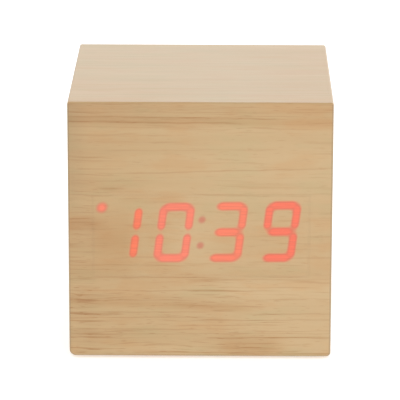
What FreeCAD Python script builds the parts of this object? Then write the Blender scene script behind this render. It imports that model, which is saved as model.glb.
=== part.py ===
# Cube-shaped LED alarm clock in a wood-effect case, modelled piece by piece.
#
# Millimetres, +Z up. The origin is on the table under the middle of the clock. The display faces -Y, and
# the buttons and the power socket are at the back, +Y. Five mitred fibreboard panels, wrapped in a
# wood-grain film, make a box that is open below. A four-digit LED block shines through the film from a
# window cut in the front panel. A plastic base plate closes the box and holds three AAA cells behind a
# door, and a bezel in the rear panel holds the main board with its buttons, socket, buzzer and microphone.
import FreeCAD, Part
import math
import os

V = FreeCAD.Vector
ALONG_X = V(1, 0, 0)
ALONG_Y = V(0, 1, 0)
ALONG_Z = V(0, 0, 1)

# ---- Driving dimensions: case ----
CUBE = 62.0  # each side of the case
FOOT_STAND = 0.6  # how far the feet hold the case off the table
FILM = 0.4  # wood-grain film
BOARD = 4.6  # fibreboard panel
TOP_EDGE_R = 0.6  # upper edges that run front to back
LOWER_LEFT_R = 1.5  # lower edges that run front to back, sanded by hand
LOWER_RIGHT_R = 1.0
FRONT_EDGE_R = 0.45  # edges round the front face, folded crisp
REAR_EDGE_R = 0.6  # edges round the rear face
FILM_RETURN = 3.4  # how far the film turns in under the case
CORNER_BLOCK = (7.0, 11.4)  # width and height of the glued corner blocks

HALF = CUBE / 2
CASE_Z = FOOT_STAND
CASE_TOP = CASE_Z + CUBE
BOARD_OUT = HALF - FILM
CAVITY = BOARD_OUT - BOARD  # half the width of the space inside the panels
BOARD_Z = CASE_Z + FILM
BOARD_TOP = CASE_TOP - FILM
CEILING = BOARD_TOP - BOARD

# ---- Driving dimensions: display ----
DIGIT_PITCH = 12.5
DIGIT_HALF_W = 3.32  # between the middles of a digit's upright strokes, halved
DIGIT_HALF_H = 6.24  # between the middles of its top and bottom strokes, halved
SLANT = 0.145  # sideways lean of the digits for each millimetre of height
STROKE_R = 0.72
STROKE_GAP = 1.19  # from the corner of two strokes to each one's end
COLON = ((0.35, 3.05), (-0.15, -3.15))  # the colon's dots, from the middle of the digits
COLON_R = 0.7
SIGNAL_DOT = (-23.15, 6.4)  # alarm-on dot, from the middle of the digits
SIGNAL_R = 1.0
DIGITS_AT = (0.12, CASE_Z + 30.65)  # x and z of the middle of the digits
DISPLAY_TILT = 1.1  # degrees: the block sits a little out of square in its window
BLOCK = (50.3, 8.0, 19.0)  # LED block: width, depth, height
BLOCK_DROP = 0.35  # middle of the block below the middle of the digits
BLOCK_RIM = 1.0  # housing round the block's own board
WINDOW = (50.9, 20.6)
WINDOW_DROP = 0.55
LENS_DEPTH = 3.2
SUBSTRATE = 1.2  # the LED block's own board
POTTING = 0.3  # between that board and the block's back
DRIVER_BOARD = (50.8, 1.2, 28.4)
SPACER_AT = (22.0, 12.4)  # from the middle of the digits
SPACER_R = (1.1, 1.75)
CLEAR_R = 1.1  # clearance hole for the display and bezel screws
PILOT_R = 1.02  # their pilot hole in fibreboard

# ---- Driving dimensions: base ----
FIT_GAP = 0.3  # between the base plate and the panels
BASE_Z = BOARD_Z + 0.2  # outer face of the base plate
BASE_THICK = 2.4
DOOR_THICK = 1.5
DOOR_GAP = 0.15
DOOR_HALF = (24.6, 17.75)
DOOR_CORNER_R = 0.8
DOOR_EDGE = 0.25  # chamfer round its outer face
DOOR_RIB = (18.0, 0.4, 1.3)  # half length, half width and height of the ribs between the cells
CELL_R = 5.25
CELL_BODY = 43.5
CELL_NUB = (1.9, 1.0)  # radius and height
CELL_END = 0.6  # depth of the bare metal at each end of a cell
CELL_PITCH = 10.8
CELL_WAYS = (1, -1, 1)  # which way each cell's positive end points along X, front row first
BAY_HALF = (24.0, 16.4)
BAY_WALL = (0.9, 1.0)
BAY_ROOF = 1.2
CONTACT = 0.3  # thickness of the battery contacts
PAD = (4.3, -4.2, 4.4)  # half width of a contact, and its height range about a cell's middle
TAIL_RISE = 2.2  # of the soldering tails above the bay
TAB_AT = 13.0  # middle of each hinge tab of the door
TAB_HALF = 2.0
TAB_HOOK = 1.25  # how far each tab reaches over the base plate
LATCH_HALF = 4.0
LATCH_LEAF = (16.5, 17.1)  # y range of the latch tongue
LATCH_TOP = 6.6
BARB = (3.0, 0.45, 1.5)  # half width, reach and height
THUMB = (5.0, 0.9)  # radius and depth of the thumb recess
FOOT_R = 3.25
FOOT_AT = (14.0, 21.9)
FOOT_SUNK = 0.5
SCREW_AT = 22.4  # base screws, from the middle both ways

# ---- Driving dimensions: rear controls ----
BEZEL = (42.0, 17.0)  # width and height seen from the back
BEZEL_Z = CASE_Z + 35.4
BEZEL_R = 2.0
BEZEL_SUNK = 0.8  # its face below the film
BEZEL_FACE = 1.5
BEZEL_WALL = 1.2
BEZEL_RIM_R = 0.4
FLANGE = (50.8, 22.0, 1.2)
POST = (1.6, 0.82)  # outer and pilot radius of the board posts
POST_AT = (23.2, 9.0)  # from the middle of the bezel
POST_HEIGHT = 6.2
CONTROL_Z = BEZEL_Z + 2.0  # height of the buttons and the socket
MARK_Z = BEZEL_Z - 4.6  # height of the marks below the buttons
BUTTON_X = {"set": 8.0, "up": 0.5, "down": -7.0}
BUTTON_R = 2.2
BUTTON_FLANGE = (3.1, 0.8)
BUTTON_TRAVEL = 0.4
BUTTON_TIP = HALF - 0.1
JACK_X = 16.0
JACK_BORE = (1.8, 9.5)
BUZZER_X = -15.0
MIC_AT = (16.0, MARK_Z)
MAIN_BOARD = (50.0, 1.6, 29.0)
MAIN_BOARD_Z = BEZEL_Z - 1.0
PLUG_X = 9.0
PLUG = (4.2, 3.4)  # depth and height
CORES = 10
CORE_PITCH = 1.27
CORE_R = 0.55
LEAD_R = 0.6

FRONT_IN = -CAVITY  # inner face of the front panel
REAR_IN = CAVITY  # inner face of the rear panel
BLOCK_FRONT = -BOARD_OUT  # the LED block touches the film
BLOCK_BACK = BLOCK_FRONT + BLOCK[1]
DRIVER_REAR = BLOCK_BACK + DRIVER_BOARD[1]
SUBSTRATE_FRONT = BLOCK_BACK - POTTING - SUBSTRATE
BASE_HALF = CAVITY - FIT_GAP
BASE_TOP = BASE_Z + BASE_THICK
DOOR_TOP = BASE_Z + DOOR_THICK
DOOR_SEAT = DOOR_TOP + 0.1
OPENING = [half + DOOR_GAP for half in DOOR_HALF]  # the base plate's opening for the door
CELL_Z = DOOR_TOP + 0.2 + CELL_R
BAY_TOP = CELL_Z + CELL_R + 0.4
ROOF_TOP = BAY_TOP + BAY_ROOF
CONTACT_X = BAY_HALF[0] - CONTACT  # inner face of the battery contacts
NUB_END = CONTACT_X - 0.5
BODY_END = NUB_END - CELL_NUB[1]
TAIL_END = BODY_END - CELL_BODY
TAILS = ((-1, -1), (1, 1))  # the corners of the bay with the negative and the positive tail
BEZEL_OUT = HALF - BEZEL_SUNK
BEZEL_IN = BEZEL_OUT - BEZEL_FACE
FLANGE_IN = REAR_IN - FLANGE[2]
BOARD_REAR = FLANGE_IN - POST_HEIGHT  # rear face of the main board
BOARD_FRONT = BOARD_REAR - MAIN_BOARD[1]


# ---- Shape helpers ----
def span(half, middle=0.0):
    """A (low, high) range about a middle."""
    return (middle - half, middle + half)


def box(x, y, z):
    """A box over three ranges, each given in either order."""
    (x0, x1), (y0, y1), (z0, z1) = sorted(x), sorted(y), sorted(z)
    return Part.makeBox(x1 - x0, y1 - y0, z1 - z0, V(x0, y0, z0))


def rod(radius, start, end):
    axis = end.sub(start)
    return Part.makeCylinder(radius, axis.Length, start, axis)


def rod_x(radius, y, z, x_from, x_to):
    return rod(radius, V(x_from, y, z), V(x_to, y, z))


def rod_y(radius, x, z, y_from, y_to):
    return rod(radius, V(x, y_from, z), V(x, y_to, z))


def rod_z(radius, x, y, z_from, z_to):
    return rod(radius, V(x, y, z_from), V(x, y, z_to))


def group(shapes):
    """Separate solids that share one node."""
    return Part.makeCompound([solid for shape in shapes for solid in shape.Solids])


def fused(shapes):
    first, *rest = shapes
    return first.multiFuse(rest).removeSplitter()


def corners(x, other):
    """The four points at plus and minus x and plus and minus other."""
    return [(sx * x, so * other) for sx in (-1, 1) for so in (-1, 1)]


def polygon(points):
    """A flat face through the points."""
    return Part.Face(Part.makePolygon(points + points[:1]))


def rounded_plate(x, z, radii, y_from, y_to):
    """A plate with its corners rounded in turn: lower left, lower right, upper right, upper left."""
    spots = [(x[0], z[0], 1, 1), (x[1], z[0], -1, 1), (x[1], z[1], -1, -1), (x[0], z[1], 1, -1)]
    sag = 1 - math.sqrt(0.5)
    arcs = []
    ends = []
    for (cx, cz, ix, iz), r in zip(spots, radii):
        on_side = V(cx, y_from, cz + iz * r)
        on_level = V(cx + ix * r, y_from, cz)
        middle = V(cx + ix * r * sag, y_from, cz + iz * r * sag)
        start, end = (on_side, on_level) if ix == iz else (on_level, on_side)
        arcs.append(Part.Arc(start, middle, end).toShape())
        ends.append((start, end))
    lines = [Part.makeLine(here[1], there[0]) for here, there in zip(ends, ends[1:] + ends[:1])]
    loop = Part.Wire(Part.__sortEdges__(arcs + lines))
    return Part.Face(loop).extrude(V(0, y_to - y_from, 0))


def bar(a, b, radius, y_from, y_to):
    """A round-ended bar between two (x, z) points, along Y from y_from to y_to."""
    start, end = V(a[0], y_from, a[1]), V(b[0], y_from, b[1])
    along = end.sub(start).normalize()
    side = V(-along.z, 0, along.x) * radius
    cap = along * radius
    edges = [
        Part.makeLine(start + side, end + side),
        Part.Arc(end + side, end + cap, end - side).toShape(),
        Part.makeLine(end - side, start - side),
        Part.Arc(start - side, start - cap, start + side).toShape(),
    ]
    return Part.Face(Part.Wire(edges)).extrude(V(0, y_to - y_from, 0))


def turned(points):
    """A solid of revolution about Z from (radius, height) points that start and end on the axis."""
    return polygon([V(r, 0, h) for r, h in points]).revolve(V(), ALONG_Z, 360)


def aimed(shape, at, direction):
    """A shape drawn about the origin, with its +Z turned to a direction and its origin moved to a point."""
    placed = shape.copy()
    placed.Placement = FreeCAD.Placement(at, FreeCAD.Rotation(ALONG_Z, direction))
    return placed


def rounded_rim(shape, radius, is_rim):
    """The shape with its round edges that pass a test rounded over."""
    rim = [e for e in shape.Edges if e.Curve.TypeId == "Part::GeomCircle" and is_rim(e.BoundBox)]
    return shape.makeFillet(radius, rim)


def screw(at, direction, length, thread_r, head_r, head_h, pitch=0.8):
    """A cross-head tapping screw. The head's seat is at a point, and the head points in a direction."""
    root_r = thread_r * 0.76
    points = [(0, head_h), (head_r * 0.72, head_h), (head_r, head_h * 0.45), (head_r, 0), (root_r, 0)]
    depth = 0.35
    while depth + pitch < length - thread_r:
        points += [(root_r, -depth), (thread_r, -depth - pitch * 0.35), (root_r, -depth - pitch * 0.7)]
        depth += pitch
    points += [(root_r, -length + thread_r), (0, -length)]
    arm, half_width = span(head_r * 0.62), span(head_r * 0.13)
    recess = (head_h * 0.3, head_h + 1)
    cross = fused([box(arm, half_width, recess), box(half_width, arm, recess)])
    return aimed(turned(points).cut(cross), at, direction)


def bent_wire(points, bend_r, radius):
    """A round wire along straight runs joined by arcs of one radius."""
    edges = []
    start = points[0]
    for before, corner, after in zip(points, points[1:], points[2:]):
        back = before.sub(corner).normalize()
        on = after.sub(corner).normalize()
        half_angle = math.acos(back.dot(on)) / 2
        reach = bend_r / math.tan(half_angle)
        enter, leave = corner + back * reach, corner + on * reach
        inward = (back + on).normalize()
        crown = corner + inward * (bend_r / math.sin(half_angle) - bend_r)
        edges.append(Part.makeLine(start, enter))
        edges.append(Part.Arc(enter, crown, leave).toShape())
        start = leave
    edges.append(Part.makeLine(start, points[-1]))
    section = Part.Wire([Part.makeCircle(radius, points[0], points[1].sub(points[0]))])
    return Part.Wire(edges).makePipeShell([section], True, True)


# ---- Case: film, panels and corner blocks ----
def case_solid(inset):
    """The case as one solid, taken in by inset on every side."""
    radii = [max(r - inset, 0.05) for r in (LOWER_LEFT_R, LOWER_RIGHT_R, TOP_EDGE_R, TOP_EDGE_R)]
    side = HALF - inset
    body = rounded_plate(span(side), (CASE_Z + inset, CASE_TOP - inset), radii, -side, side)
    for face_y, edge_r in ((-side, FRONT_EDGE_R - inset), (side, REAR_EDGE_R - inset)):
        if edge_r > 0.1:
            rim = [e for e in body.Edges if all(abs(v.Y - face_y) < 1e-6 for v in e.Vertexes)]
            body = body.makeFillet(edge_r, rim)
    return body


def bezel_outline(margin, y_from, y_to):
    """The bezel's rounded outline, grown by a margin."""
    x, z = span(BEZEL[0] / 2 + margin), span(BEZEL[1] / 2 + margin, BEZEL_Z)
    return rounded_plate(x, z, [BEZEL_R + margin] * 4, y_from, y_to)


def mitred_panel(outer, inner):
    """A panel with mitred edges, between its outer and inner rectangles of four corners."""
    loops = [Part.makePolygon(ring + ring[:1]) for ring in (outer, inner)]
    return Part.makeLoft(loops, True, True)


def upright_ring(x, y, top):
    """An upright rectangle that stands on the panels' lower edge."""
    return [V(x[0], y[0], BOARD_Z), V(x[1], y[1], BOARD_Z), V(x[1], y[1], top), V(x[0], y[0], top)]


def level_ring(half, z):
    return [V(-half, -half, z), V(half, -half, z), V(half, half, z), V(-half, half, z)]


def make_panels():
    out, inn = BOARD_OUT, CAVITY
    walls = {
        "front_board": ((span(out), (-out, -out)), (span(inn), (-inn, -inn))),
        "rear_board": ((span(out), (out, out)), (span(inn), (inn, inn))),
        "left_board": (((-out, -out), span(out)), ((-inn, -inn), span(inn))),
        "right_board": (((out, out), span(out)), ((inn, inn), span(inn))),
    }
    made = {"top_board": mitred_panel(level_ring(out, BOARD_TOP), level_ring(inn, CEILING))}
    for name, (outer, inner) in walls.items():
        made[name] = mitred_panel(upright_ring(*outer, BOARD_TOP), upright_ring(*inner, CEILING))
    wrapped = case_solid(FILM)
    made = {name: shape.common(wrapped) for name, shape in made.items()}

    window = box(span(WINDOW[0] / 2), (-HALF, FRONT_IN + 1), span(WINDOW[1] / 2, DIGITS_AT[1] - WINDOW_DROP))
    pilots = [rod_y(PILOT_R, x, z, FRONT_IN - 3.8, FRONT_IN) for x, z in spacer_spots()]
    made["front_board"] = made["front_board"].cut(group([window] + pilots))
    pilots = [rod_y(PILOT_R, x, BEZEL_Z, REAR_IN, REAR_IN + 3.4) for x in span(POST_AT[0])]
    cut_out = bezel_outline(0.2, REAR_IN - 1, HALF)
    made["rear_board"] = made["rear_board"].cut(group([cut_out] + pilots))
    return made


def make_film():
    mouth = span(HALF - FILM_RETURN)
    film = case_solid(0).cut(case_solid(FILM))
    film = film.cut(box(mouth, mouth, (CASE_Z - 1, BOARD_Z)))
    return {"film_wrap": film.cut(bezel_outline(0.2, REAR_IN, HALF + 1))}


def make_corner_blocks():
    width, height = CORNER_BLOCK
    levels = (BASE_TOP, BASE_TOP + height)
    holes = group([rod_z(1.22, x, y, BASE_TOP, BASE_TOP + 8.4) for x, y in corners(SCREW_AT, SCREW_AT)])
    centre = CAVITY - width / 2
    blocks = [box(span(width / 2, x), span(width / 2, y), levels) for x, y in corners(centre, centre)]
    return {"corner_blocks": group([block.cut(holes) for block in blocks])}


# ---- Display: LED block and driver board ----
# The ends of each segment, as shares of the digit's half width and half height.
SEGMENTS = {
    "a": ((-1, 1), (1, 1)),
    "b": ((1, 1), (1, 0)),
    "c": ((1, 0), (1, -1)),
    "d": ((-1, -1), (1, -1)),
    "e": ((-1, 0), (-1, -1)),
    "f": ((-1, 1), (-1, 0)),
    "g": ((-1, 0), (1, 0)),
}
SHOWN = ("bc", "abcdef", "abcdg", "abcdfg")  # the segments alight in each digit, for 10:39


def on_display(across, up):
    """x and z of a point given from the middle of the digits, before the display is tilted."""
    return (DIGITS_AT[0] + across, DIGITS_AT[1] + up)


def tilted(shape):
    """The shape turned with the display about the middle of the digits."""
    copy = shape.copy()
    copy.rotate(V(DIGITS_AT[0], 0, DIGITS_AT[1]), ALONG_Y, -DISPLAY_TILT)
    return copy


def spacer_spots():
    """x and z of the four display screws, turned with the display."""
    angle = math.radians(DISPLAY_TILT)
    spots = []
    for across, up in corners(*SPACER_AT):
        x = across * math.cos(angle) - up * math.sin(angle)
        z = across * math.sin(angle) + up * math.cos(angle)
        spots.append(on_display(x, z))
    return spots


def segment_bar(digit, name, y_from, y_to):
    """One segment of the digit at a place from 0 to 3."""
    centre = (digit - 1.5) * DIGIT_PITCH
    (ax, az), (bx, bz) = [(ex * DIGIT_HALF_W, ez * DIGIT_HALF_H) for ex, ez in SEGMENTS[name]]
    share = STROKE_GAP / math.hypot(bx - ax, bz - az)
    ends = []
    for along in (share, 1 - share):
        across, up = ax + (bx - ax) * along, az + (bz - az) * along
        ends.append(on_display(centre + across + SLANT * up, up))
    return bar(*ends, STROKE_R, y_from, y_to)


def light_shapes(y_from, y_to):
    """The bars and dots that show as light, as (alight, dark) lists."""
    alight, dark = [], []
    for digit, shown in enumerate(SHOWN):
        for name in SEGMENTS:
            kind = alight if name in shown else dark
            kind.append(segment_bar(digit, name, y_from, y_to))
    alight += [rod_y(COLON_R, *on_display(*dot), y_from, y_to) for dot in COLON]
    alight.append(rod_y(SIGNAL_R, *on_display(*SIGNAL_DOT), y_from, y_to))
    return alight, dark


def make_led_block():
    x = span(BLOCK[0] / 2, DIGITS_AT[0] - 0.1)
    z = span(BLOCK[2] / 2, DIGITS_AT[1] - BLOCK_DROP)
    inner = [(low + BLOCK_RIM, high - BLOCK_RIM) for low, high in (x, z)]
    wells = [shape for kind in light_shapes(BLOCK_FRONT, BLOCK_BACK) for shape in kind]
    housing = box(x, (BLOCK_FRONT, BLOCK_BACK), z)
    housing = housing.cut(box(inner[0], (SUBSTRATE_FRONT, BLOCK_BACK), inner[1]))
    housing = housing.cut(group(wells))
    lit, unlit = light_shapes(BLOCK_FRONT, BLOCK_FRONT + LENS_DEPTH)
    dies = []
    for lens in lit + unlit:
        at = lens.BoundBox.Center
        dies.append(box(span(0.4, at.x), (SUBSTRATE_FRONT - 0.35, SUBSTRATE_FRONT), span(0.25, at.z)))
    made = {
        "display_housing": housing,
        "segment_lenses_lit": group(lit),
        "segment_lenses_dark": group(unlit),
        "display_substrate": box(inner[0], (SUBSTRATE_FRONT, BLOCK_BACK - POTTING), inner[1]),
        "display_led_dies": group(dies),
    }
    return {name: tilted(shape) for name, shape in made.items()}


def gull_legs(centre, half_body, lead, y, pitch, count, half_width, axis):
    """Two rows of flat legs beside a chip, along X or Z from its middle, soldered down at the y range."""
    legs = []
    for i in range(count):
        step = (i - (count - 1) / 2) * pitch
        for side in (-1, 1):
            reach = (side * half_body, side * (half_body + lead))
            x = reach if axis == "x" else span(half_width, step)
            z = span(half_width, step) if axis == "x" else reach
            legs.append(box([centre[0] + v for v in x], y, [centre[1] + v for v in z]))
    return legs


def make_driver_board():
    pin_spots = [on_display(i * 2.54, side * 7.6 - BLOCK_DROP) for i in range(-3, 4) for side in (-1, 1)]
    pin_y = (BLOCK_BACK - POTTING, DRIVER_REAR + 1.5)
    pins = [box(span(0.25, x), pin_y, span(0.25, z)) for x, z in pin_spots]
    holes = [rod_y(CLEAR_R, *on_display(*spot), BLOCK_BACK, DRIVER_REAR) for spot in corners(*SPACER_AT)]
    x, z = span(DRIVER_BOARD[0] / 2, DIGITS_AT[0]), span(DRIVER_BOARD[2] / 2, DIGITS_AT[1])
    board = box(x, (BLOCK_BACK, DRIVER_REAR), z).cut(group(pins + holes))
    chip_at = on_display(-14.0, 1.0)
    chip = box(span(5.2, chip_at[0]), (DRIVER_REAR + 0.25, DRIVER_REAR + 2.1), span(2.4, chip_at[1]))
    legs = gull_legs(chip_at, 2.4, 1.2, (DRIVER_REAR, DRIVER_REAR + 0.25), 1.27, 8, 0.2, "z")
    resistors = []
    for i in range(8):
        at = on_display(-20.0 + 1.9 * i, -5.5)
        resistors.append(box(span(0.4, at[0]), (DRIVER_REAR, DRIVER_REAR + 0.45), span(0.8, at[1])))
    made = {
        "display_board": board,
        "display_pins": group(pins + legs),
        "display_driver_chip": chip,
        "display_resistors": group(resistors),
    }
    return {name: tilted(shape) for name, shape in made.items()}


def make_display_fixings():
    spacers, screws = [], []
    for x, z in spacer_spots():
        tube, hole = [rod_y(r, x, z, FRONT_IN, BLOCK_BACK) for r in (SPACER_R[1], SPACER_R[0])]
        spacers.append(tube.cut(hole))
        screws.append(screw(V(x, DRIVER_REAR, z), ALONG_Y, 8.2, 1.0, 1.8, 1.1, 0.7))
    return {"display_spacers": group(spacers), "display_screws": group(screws)}


# ---- Base: plate with the battery bay, door, feet and screws ----
def make_base_plate():
    plate = box(span(BASE_HALF), span(BASE_HALF), (BASE_Z, BASE_TOP))
    bay_x, bay_y = [span(BAY_HALF[i] + BAY_WALL[i]) for i in (0, 1)]
    plate = plate.fuse(box(bay_x, bay_y, (BASE_TOP - 0.1, ROOF_TOP)))
    mouth = box(span(OPENING[0]), span(OPENING[1]), (BASE_Z - 1, DOOR_SEAT))
    mouth = mouth.makeFillet(DOOR_CORNER_R, [e for e in mouth.Edges if e.BoundBox.ZLength > 1])
    plate = plate.cut(mouth)
    plate = plate.cut(box(span(BAY_HALF[0]), span(BAY_HALF[1]), (DOOR_SEAT - 1, BAY_TOP)))
    rib_z = (BAY_TOP - 2.3, BAY_TOP)
    ribs = [box(span(BAY_HALF[0] - 4), span(0.4, y), rib_z) for y in span(CELL_PITCH / 2)]
    plate = fused([plate] + ribs)

    tab_z = (DOOR_SEAT - 0.1, BASE_TOP + 1.8)
    cuts = [box(span(TAB_HALF + 0.3, x), (-OPENING[1], -BAY_HALF[1]), tab_z) for x in span(TAB_AT)]
    cuts.append(box(span(LATCH_HALF + 0.4), (BAY_HALF[1], OPENING[1]), (DOOR_SEAT - 0.1, LATCH_TOP + 1.8)))
    cuts.append(rod_z(THUMB[0], 0, OPENING[1] - 2.2, BASE_Z - 1, BASE_Z + THUMB[1]))
    cuts += [rod_z(FOOT_R + 0.15, x, y, BASE_Z - 1, BASE_Z + FOOT_SUNK) for x, y in corners(*FOOT_AT)]
    for x, y in corners(SCREW_AT, SCREW_AT):
        cuts.append(rod_z(1.4, x, y, BASE_Z, BASE_TOP))
        cuts.append(rod_z(2.5, x, y, BASE_Z - 1, BASE_Z + 1.1))
    for x, y in tail_spots():
        cuts.append(box(span(0.35, x), span(1.3, y), (BAY_TOP - 1, ROOF_TOP + 1)))
    return {"base_plate": plate.cut(group(cuts))}


def make_door():
    door = box(span(DOOR_HALF[0]), span(DOOR_HALF[1]), (BASE_Z, DOOR_TOP))
    door = door.makeFillet(DOOR_CORNER_R, [e for e in door.Edges if e.BoundBox.ZLength > DOOR_THICK / 2])
    door = door.makeChamfer(DOOR_EDGE, [e for e in door.Edges if e.BoundBox.ZMax < BASE_Z + 0.01])
    groove_z = (BASE_Z, BASE_Z + 0.35)
    grooves = [box(span(3.6), span(0.35, 13.2 - 1.3 * i), groove_z) for i in range(4)]
    door = door.cut(group(grooves))
    half_length, half_width, height = DOOR_RIB
    rib_z = (DOOR_TOP - 0.1, DOOR_TOP + height)
    ribs = [box(span(half_length), span(half_width, y), rib_z) for y in span(CELL_PITCH / 2)]
    tab_z = (BASE_TOP + 0.15, BASE_TOP + 0.95)
    riser_y = (-BAY_HALF[1] + 0.2, -BAY_HALF[1] + 1.0)
    tabs = []
    for x in span(TAB_AT):
        tabs.append(box(span(TAB_HALF, x), riser_y, (DOOR_TOP - 0.1, tab_z[1])))
        tabs.append(box(span(TAB_HALF, x), (-DOOR_HALF[1] - TAB_HOOK, riser_y[1]), tab_z))
    tongue = box(span(LATCH_HALF), LATCH_LEAF, (DOOR_TOP, LATCH_TOP))
    half_width, reach, height = BARB
    low, root_y = BASE_TOP + 0.05, LATCH_LEAF[0]
    side = [(root_y, low), (OPENING[1] + reach, low), (root_y, low + height)]
    barb = polygon([V(-half_width, y, z) for y, z in side]).extrude(V(2 * half_width, 0, 0))
    return {"battery_door": fused([door] + ribs + tabs), "battery_door_latch": fused([tongue, barb])}


def make_feet_and_screws():
    feet = []
    for x, y in corners(*FOOT_AT):
        foot = rod_z(FOOT_R, x, y, 0, BASE_Z + FOOT_SUNK)
        feet.append(rounded_rim(foot, 0.35, lambda extent: extent.ZMax < 0.01))
    seat = BASE_Z + 1.1
    screws = [screw(V(x, y, seat), -ALONG_Z, 9.0, 1.2, 2.3, 0.95) for x, y in corners(SCREW_AT, SCREW_AT)]
    return {"rubber_feet": group(feet), "base_screws": group(screws)}


# ---- Battery cells and contacts ----
def tail_spots():
    """x and y of the contact tails that carry the battery leads: negative, then positive."""
    return [(side * (BAY_HALF[0] - CONTACT / 2), row * CELL_PITCH) for side, row in TAILS]


def cell_rows():
    """The y of each cell's axis and the way its positive end points."""
    return [((row - 1) * CELL_PITCH, way) for row, way in enumerate(CELL_WAYS)]


def make_cells():
    jackets, terminals = [], []
    rim = CELL_R - 0.1
    cap = turned([(0, 0), (rim - 0.4, 0), (rim, CELL_END / 2), (rim, CELL_END), (0, CELL_END)])
    for y, way in cell_rows():
        jackets.append(rod_x(CELL_R, y, CELL_Z, way * (TAIL_END + CELL_END), way * (BODY_END - CELL_END)))
        terminals.append(aimed(cap, V(way * BODY_END, y, CELL_Z), ALONG_X * -way))
        terminals.append(aimed(cap, V(way * TAIL_END, y, CELL_Z), ALONG_X * way))
        terminals.append(rod_x(CELL_NUB[0], y, CELL_Z, way * BODY_END, way * NUB_END))
    return {"cell_jackets": group(jackets), "cell_terminals": group(terminals)}


def make_contact_springs():
    """Cone-shaped wire springs between the cells' flat ends and the contacts."""
    wire_r, turns, narrow, wide = 0.3, 2.5, 1.9, 3.3
    room = TAIL_END + CONTACT_X
    height = room - 2 * wire_r - 0.04
    cone = math.degrees(math.atan((wide - narrow) / height))
    path = Part.Wire(Part.makeHelix(height / turns, height, narrow, cone))
    section = Part.Wire([Part.makeCircle(wire_r, V(narrow, 0, 0), ALONG_Y)])
    coil = path.makePipeShell([section], True, True)
    coils = []
    for y, way in cell_rows():
        start = V(way * (TAIL_END - wire_r - 0.02), y, CELL_Z)
        coils.append(aimed(coil, start, ALONG_X * -way))
    return {"contact_springs": group(coils)}


def make_contact_plates():
    """The single contacts at the two ends of the chain of cells, and the two links between cells."""
    z = (CELL_Z + PAD[1], CELL_Z + PAD[2])
    front, rear = -CELL_PITCH, CELL_PITCH
    plates = [(-1, front, front), (1, front, 0), (-1, 0, rear), (1, rear, rear)]
    made = []
    for side, first, last in plates:
        x = (side * CONTACT_X, side * BAY_HALF[0])
        pieces = [box(x, (first - PAD[0], last + PAD[0]), z)]
        for y, way in cell_rows():
            if way == side and first <= y <= last:
                pieces.append(rod_x(1.5, y, CELL_Z, side * CONTACT_X, side * NUB_END))
        if first == last:
            pieces.append(box(x, span(1.0, first), (z[1], ROOF_TOP + TAIL_RISE)))
        made.append(fused(pieces))
    return {"contact_plates": group(made)}


# ---- Rear controls: bezel, buttons and power socket ----
def bezel_holes():
    cuts = [rod_y(2.3, *MIC_AT, BEZEL_IN - 3, BEZEL_IN), rod_y(0.6, *MIC_AT, BEZEL_IN, HALF)]
    for x, z in corners(*POST_AT):
        cuts.append(rod_y(POST[1], x, BEZEL_Z + z, BOARD_REAR, FLANGE_IN + 0.6))
    cuts += [rod_y(CLEAR_R, x, BEZEL_Z, FLANGE_IN, REAR_IN) for x in span(POST_AT[0])]
    cuts += [rod_y(BUTTON_R + 0.2, x, CONTROL_Z, BEZEL_IN, HALF) for x in BUTTON_X.values()]
    cuts.append(rod_y(2.7, JACK_X, CONTROL_Z, BEZEL_IN, HALF))
    cuts.append(rod_y(0.6, BUZZER_X, CONTROL_Z, BEZEL_IN, HALF))
    for i in range(6):
        angle = math.radians(60 * i)
        x, z = BUZZER_X + 2.2 * math.cos(angle), CONTROL_Z + 2.2 * math.sin(angle)
        cuts.append(rod_y(0.6, x, z, BEZEL_IN, HALF))
    return cuts


def bezel_marks():
    """Engraved marks below the buttons: a dot, an arrow up and an arrow down."""
    low = BEZEL_OUT - 0.3
    cuts = [rod_y(0.9, BUTTON_X["set"], MARK_Z, low, HALF)]
    for name, way in (("up", 1), ("down", -1)):
        x, base = BUTTON_X[name], MARK_Z - way * 0.9
        arrow = [V(x - 1.1, low, base), V(x + 1.1, low, base), V(x, low, MARK_Z + way * 0.9)]
        cuts.append(polygon(arrow).extrude(V(0, 2, 0)))
    return cuts


def make_bezel():
    inner_x, inner_z = [span(size / 2 - BEZEL_WALL) for size in BEZEL]
    inner_z = [BEZEL_Z + v for v in inner_z]
    hollow = rounded_plate(inner_x, inner_z, [BEZEL_R - BEZEL_WALL] * 4, FLANGE_IN, BEZEL_IN)
    flange = box(span(FLANGE[0] / 2), (FLANGE_IN, REAR_IN), span(FLANGE[1] / 2, BEZEL_Z))
    posts = [rod_y(POST[0], x, BEZEL_Z + z, BOARD_REAR, REAR_IN) for x, z in corners(*POST_AT)]
    tray = bezel_outline(0, REAR_IN, BEZEL_OUT)
    tray = tray.makeFillet(BEZEL_RIM_R, [e for e in tray.Edges if e.BoundBox.YMin > BEZEL_OUT - 0.01])
    bezel = fused([tray, flange] + posts).cut(hollow)
    bezel = fused([bezel, rod_y(3.0, *MIC_AT, BEZEL_IN - 1.8, BEZEL_IN)])
    return {"rear_bezel": bezel.cut(group(bezel_holes() + bezel_marks()))}


def make_buttons():
    """Each button: a cap behind the bezel's hole, with the stem of its switch behind it."""
    made = {}
    seat = BEZEL_IN - 0.3
    low = seat - BUTTON_FLANGE[1]
    profile = [(0, low), (BUTTON_FLANGE[0], low), (BUTTON_FLANGE[0], seat), (BUTTON_R, seat)]
    profile += [(BUTTON_R, BUTTON_TIP - 0.35), (BUTTON_R - 0.35, BUTTON_TIP), (0, BUTTON_TIP)]
    for name, x in BUTTON_X.items():
        made[name + "_button"] = aimed(turned(profile), V(x, 0, CONTROL_Z), ALONG_Y)
        made[name + "_switch_stem"] = rod_y(1.7, x, CONTROL_Z, BOARD_REAR + 2.7, low)
    return made


def switch_leg_spots():
    return [(x + sx, CONTROL_Z + sz) for x in BUTTON_X.values() for sx, sz in corners(2.25, 3.2)]


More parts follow.
